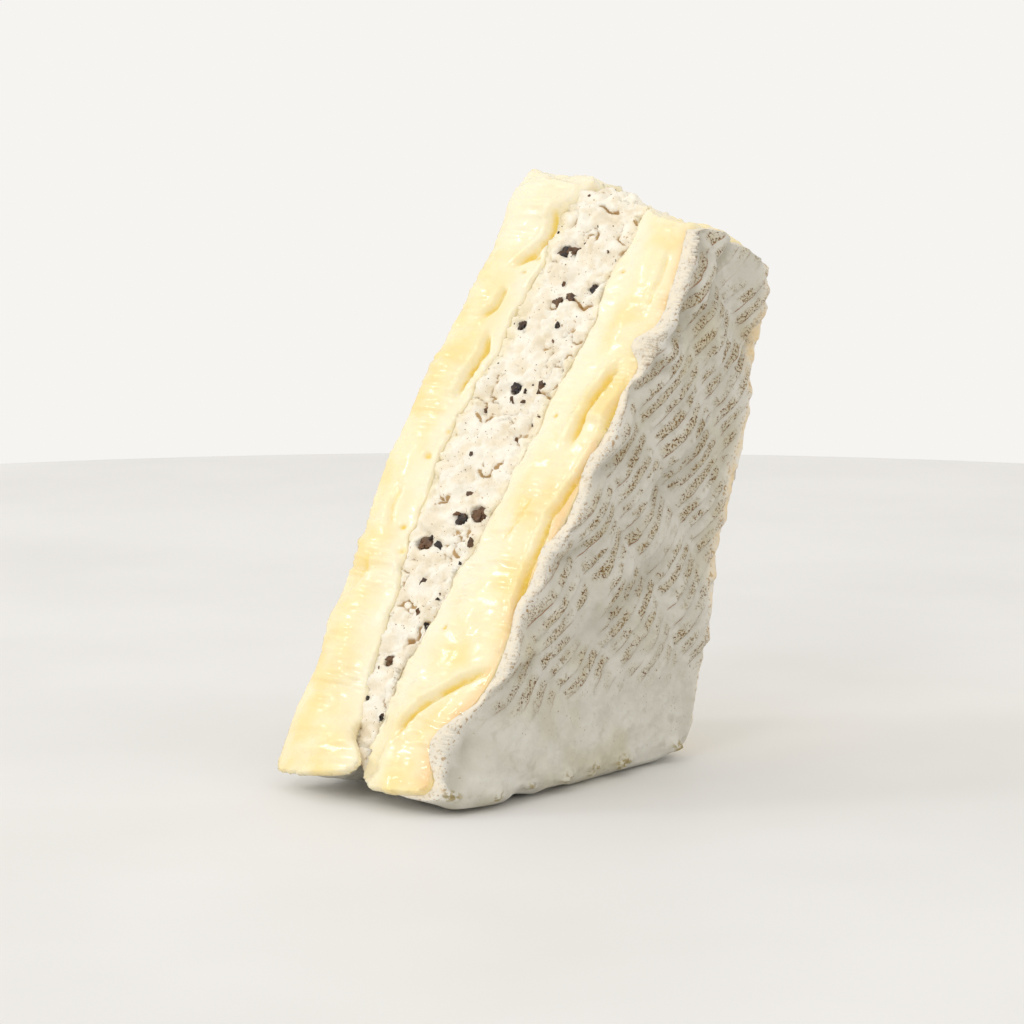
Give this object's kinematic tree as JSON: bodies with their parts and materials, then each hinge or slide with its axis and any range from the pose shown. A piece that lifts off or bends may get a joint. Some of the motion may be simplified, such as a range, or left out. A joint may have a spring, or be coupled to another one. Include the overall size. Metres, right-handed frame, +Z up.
{
  "type": "wedge of soft-ripened cheese with truffle filling",
  "caption": "Upright wedge of soft white-rinded cheese, split through its thickness around a crumbly cream layer with dark truffle pieces, its tip broken off.",
  "frame": {"origin": "centre of the bounding box in plan, on the surface that the wedge stands on", "axes": "+Z up, +X across the layers from the left rind to the right rind, +Y from the near cut face to the far cut face"},
  "size_m": [0.0462, 0.0778, 0.0959],
  "materials": {
    "rind": "dry velvety white mould, grey-white with straw-brown marks",
    "paste": "moist glossy cream-yellow cheese",
    "filling": "crumbly off-white cream",
    "truffle": "dark brown-black, slightly moist"
  },
  "bodies": {
    "root": {"rind_left": "rind", "rind_right": "rind", "paste_left": "paste", "paste_right": "paste", "truffle_filling": "filling", "truffle_piece_1": "truffle", "truffle_piece_2": "truffle", "truffle_piece_3": "truffle", "truffle_piece_4": "truffle", "truffle_piece_5": "truffle", "truffle_piece_6": "truffle", "truffle_piece_7": "truffle", "truffle_piece_8": "truffle", "truffle_piece_9": "truffle", "truffle_piece_10": "truffle", "truffle_piece_11": "truffle", "truffle_piece_12": "truffle", "truffle_piece_13": "truffle"}
  },
  "joints": []
}
